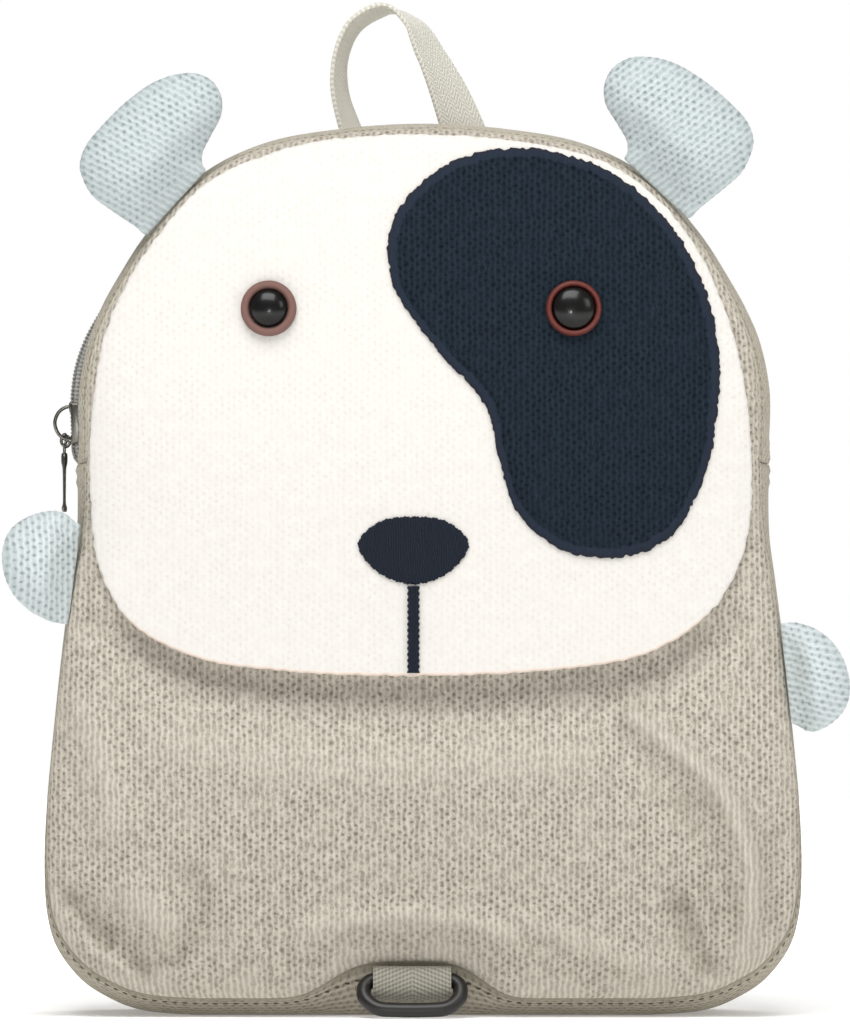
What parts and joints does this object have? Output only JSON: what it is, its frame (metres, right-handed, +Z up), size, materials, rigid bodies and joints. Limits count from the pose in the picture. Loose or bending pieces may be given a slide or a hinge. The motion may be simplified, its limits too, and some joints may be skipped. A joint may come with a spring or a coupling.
{
  "type": "kids animal backpack",
  "caption": "Toddler's soft knitted backpack shaped like a puppy, with a face flap, stuffed ears and arms, a zip round the top, a carry handle and shoulder straps.",
  "frame": {"origin": "centre of the flat base that the backpack stands on", "axes": "+Z up towards the handle, -Y towards the face, +X to the right as the face is looked at"},
  "size_m": [0.265, 0.1387, 0.3187],
  "materials": {
    "body_knit": "heathered grey-beige knit",
    "face_knit": "fine off-white knit",
    "navy_knit": "navy knit",
    "navy_thread": "navy embroidery",
    "blue_knit": "pale blue knit",
    "webbing": "cotton webbing",
    "tab_webbing": "grey-green webbing",
    "zip_fabric": "woven zip tape",
    "zip_teeth": "nylon coil",
    "zip_metal": "gunmetal",
    "eye_brown": "satin brown plastic",
    "eye_red_brown": "satin red-brown plastic",
    "eye_black": "glossy black plastic",
    "ring_plastic": "charcoal moulded plastic"
  },
  "bodies": {
    "root": {"front_panel": "body_knit", "back_panel": "body_knit", "gusset_lower": "body_knit", "gusset_top_front": "body_knit", "gusset_top_back": "body_knit", "zip_tape": "zip_fabric", "zip_coil": "zip_teeth", "zip_slider": "zip_metal", "zip_pull": "zip_metal", "face_flap": "face_knit", "eye_patch": "navy_knit", "nose": "navy_thread", "mouth_line": "navy_thread", "eye_rim_left": "eye_brown", "eye_pupil_left": "eye_black", "eye_rim_right": "eye_red_brown", "eye_pupil_right": "eye_black", "handle": "webbing", "ring_tab": "tab_webbing", "leash_ring": "ring_plastic", "ear_left": "blue_knit", "ear_right": "blue_knit", "arm_left": "blue_knit", "arm_right": "blue_knit", "strap_pad_left": "body_knit", "strap_pad_right": "body_knit", "strap_web_left": "webbing", "strap_web_right": "webbing"}
  },
  "joints": []
}
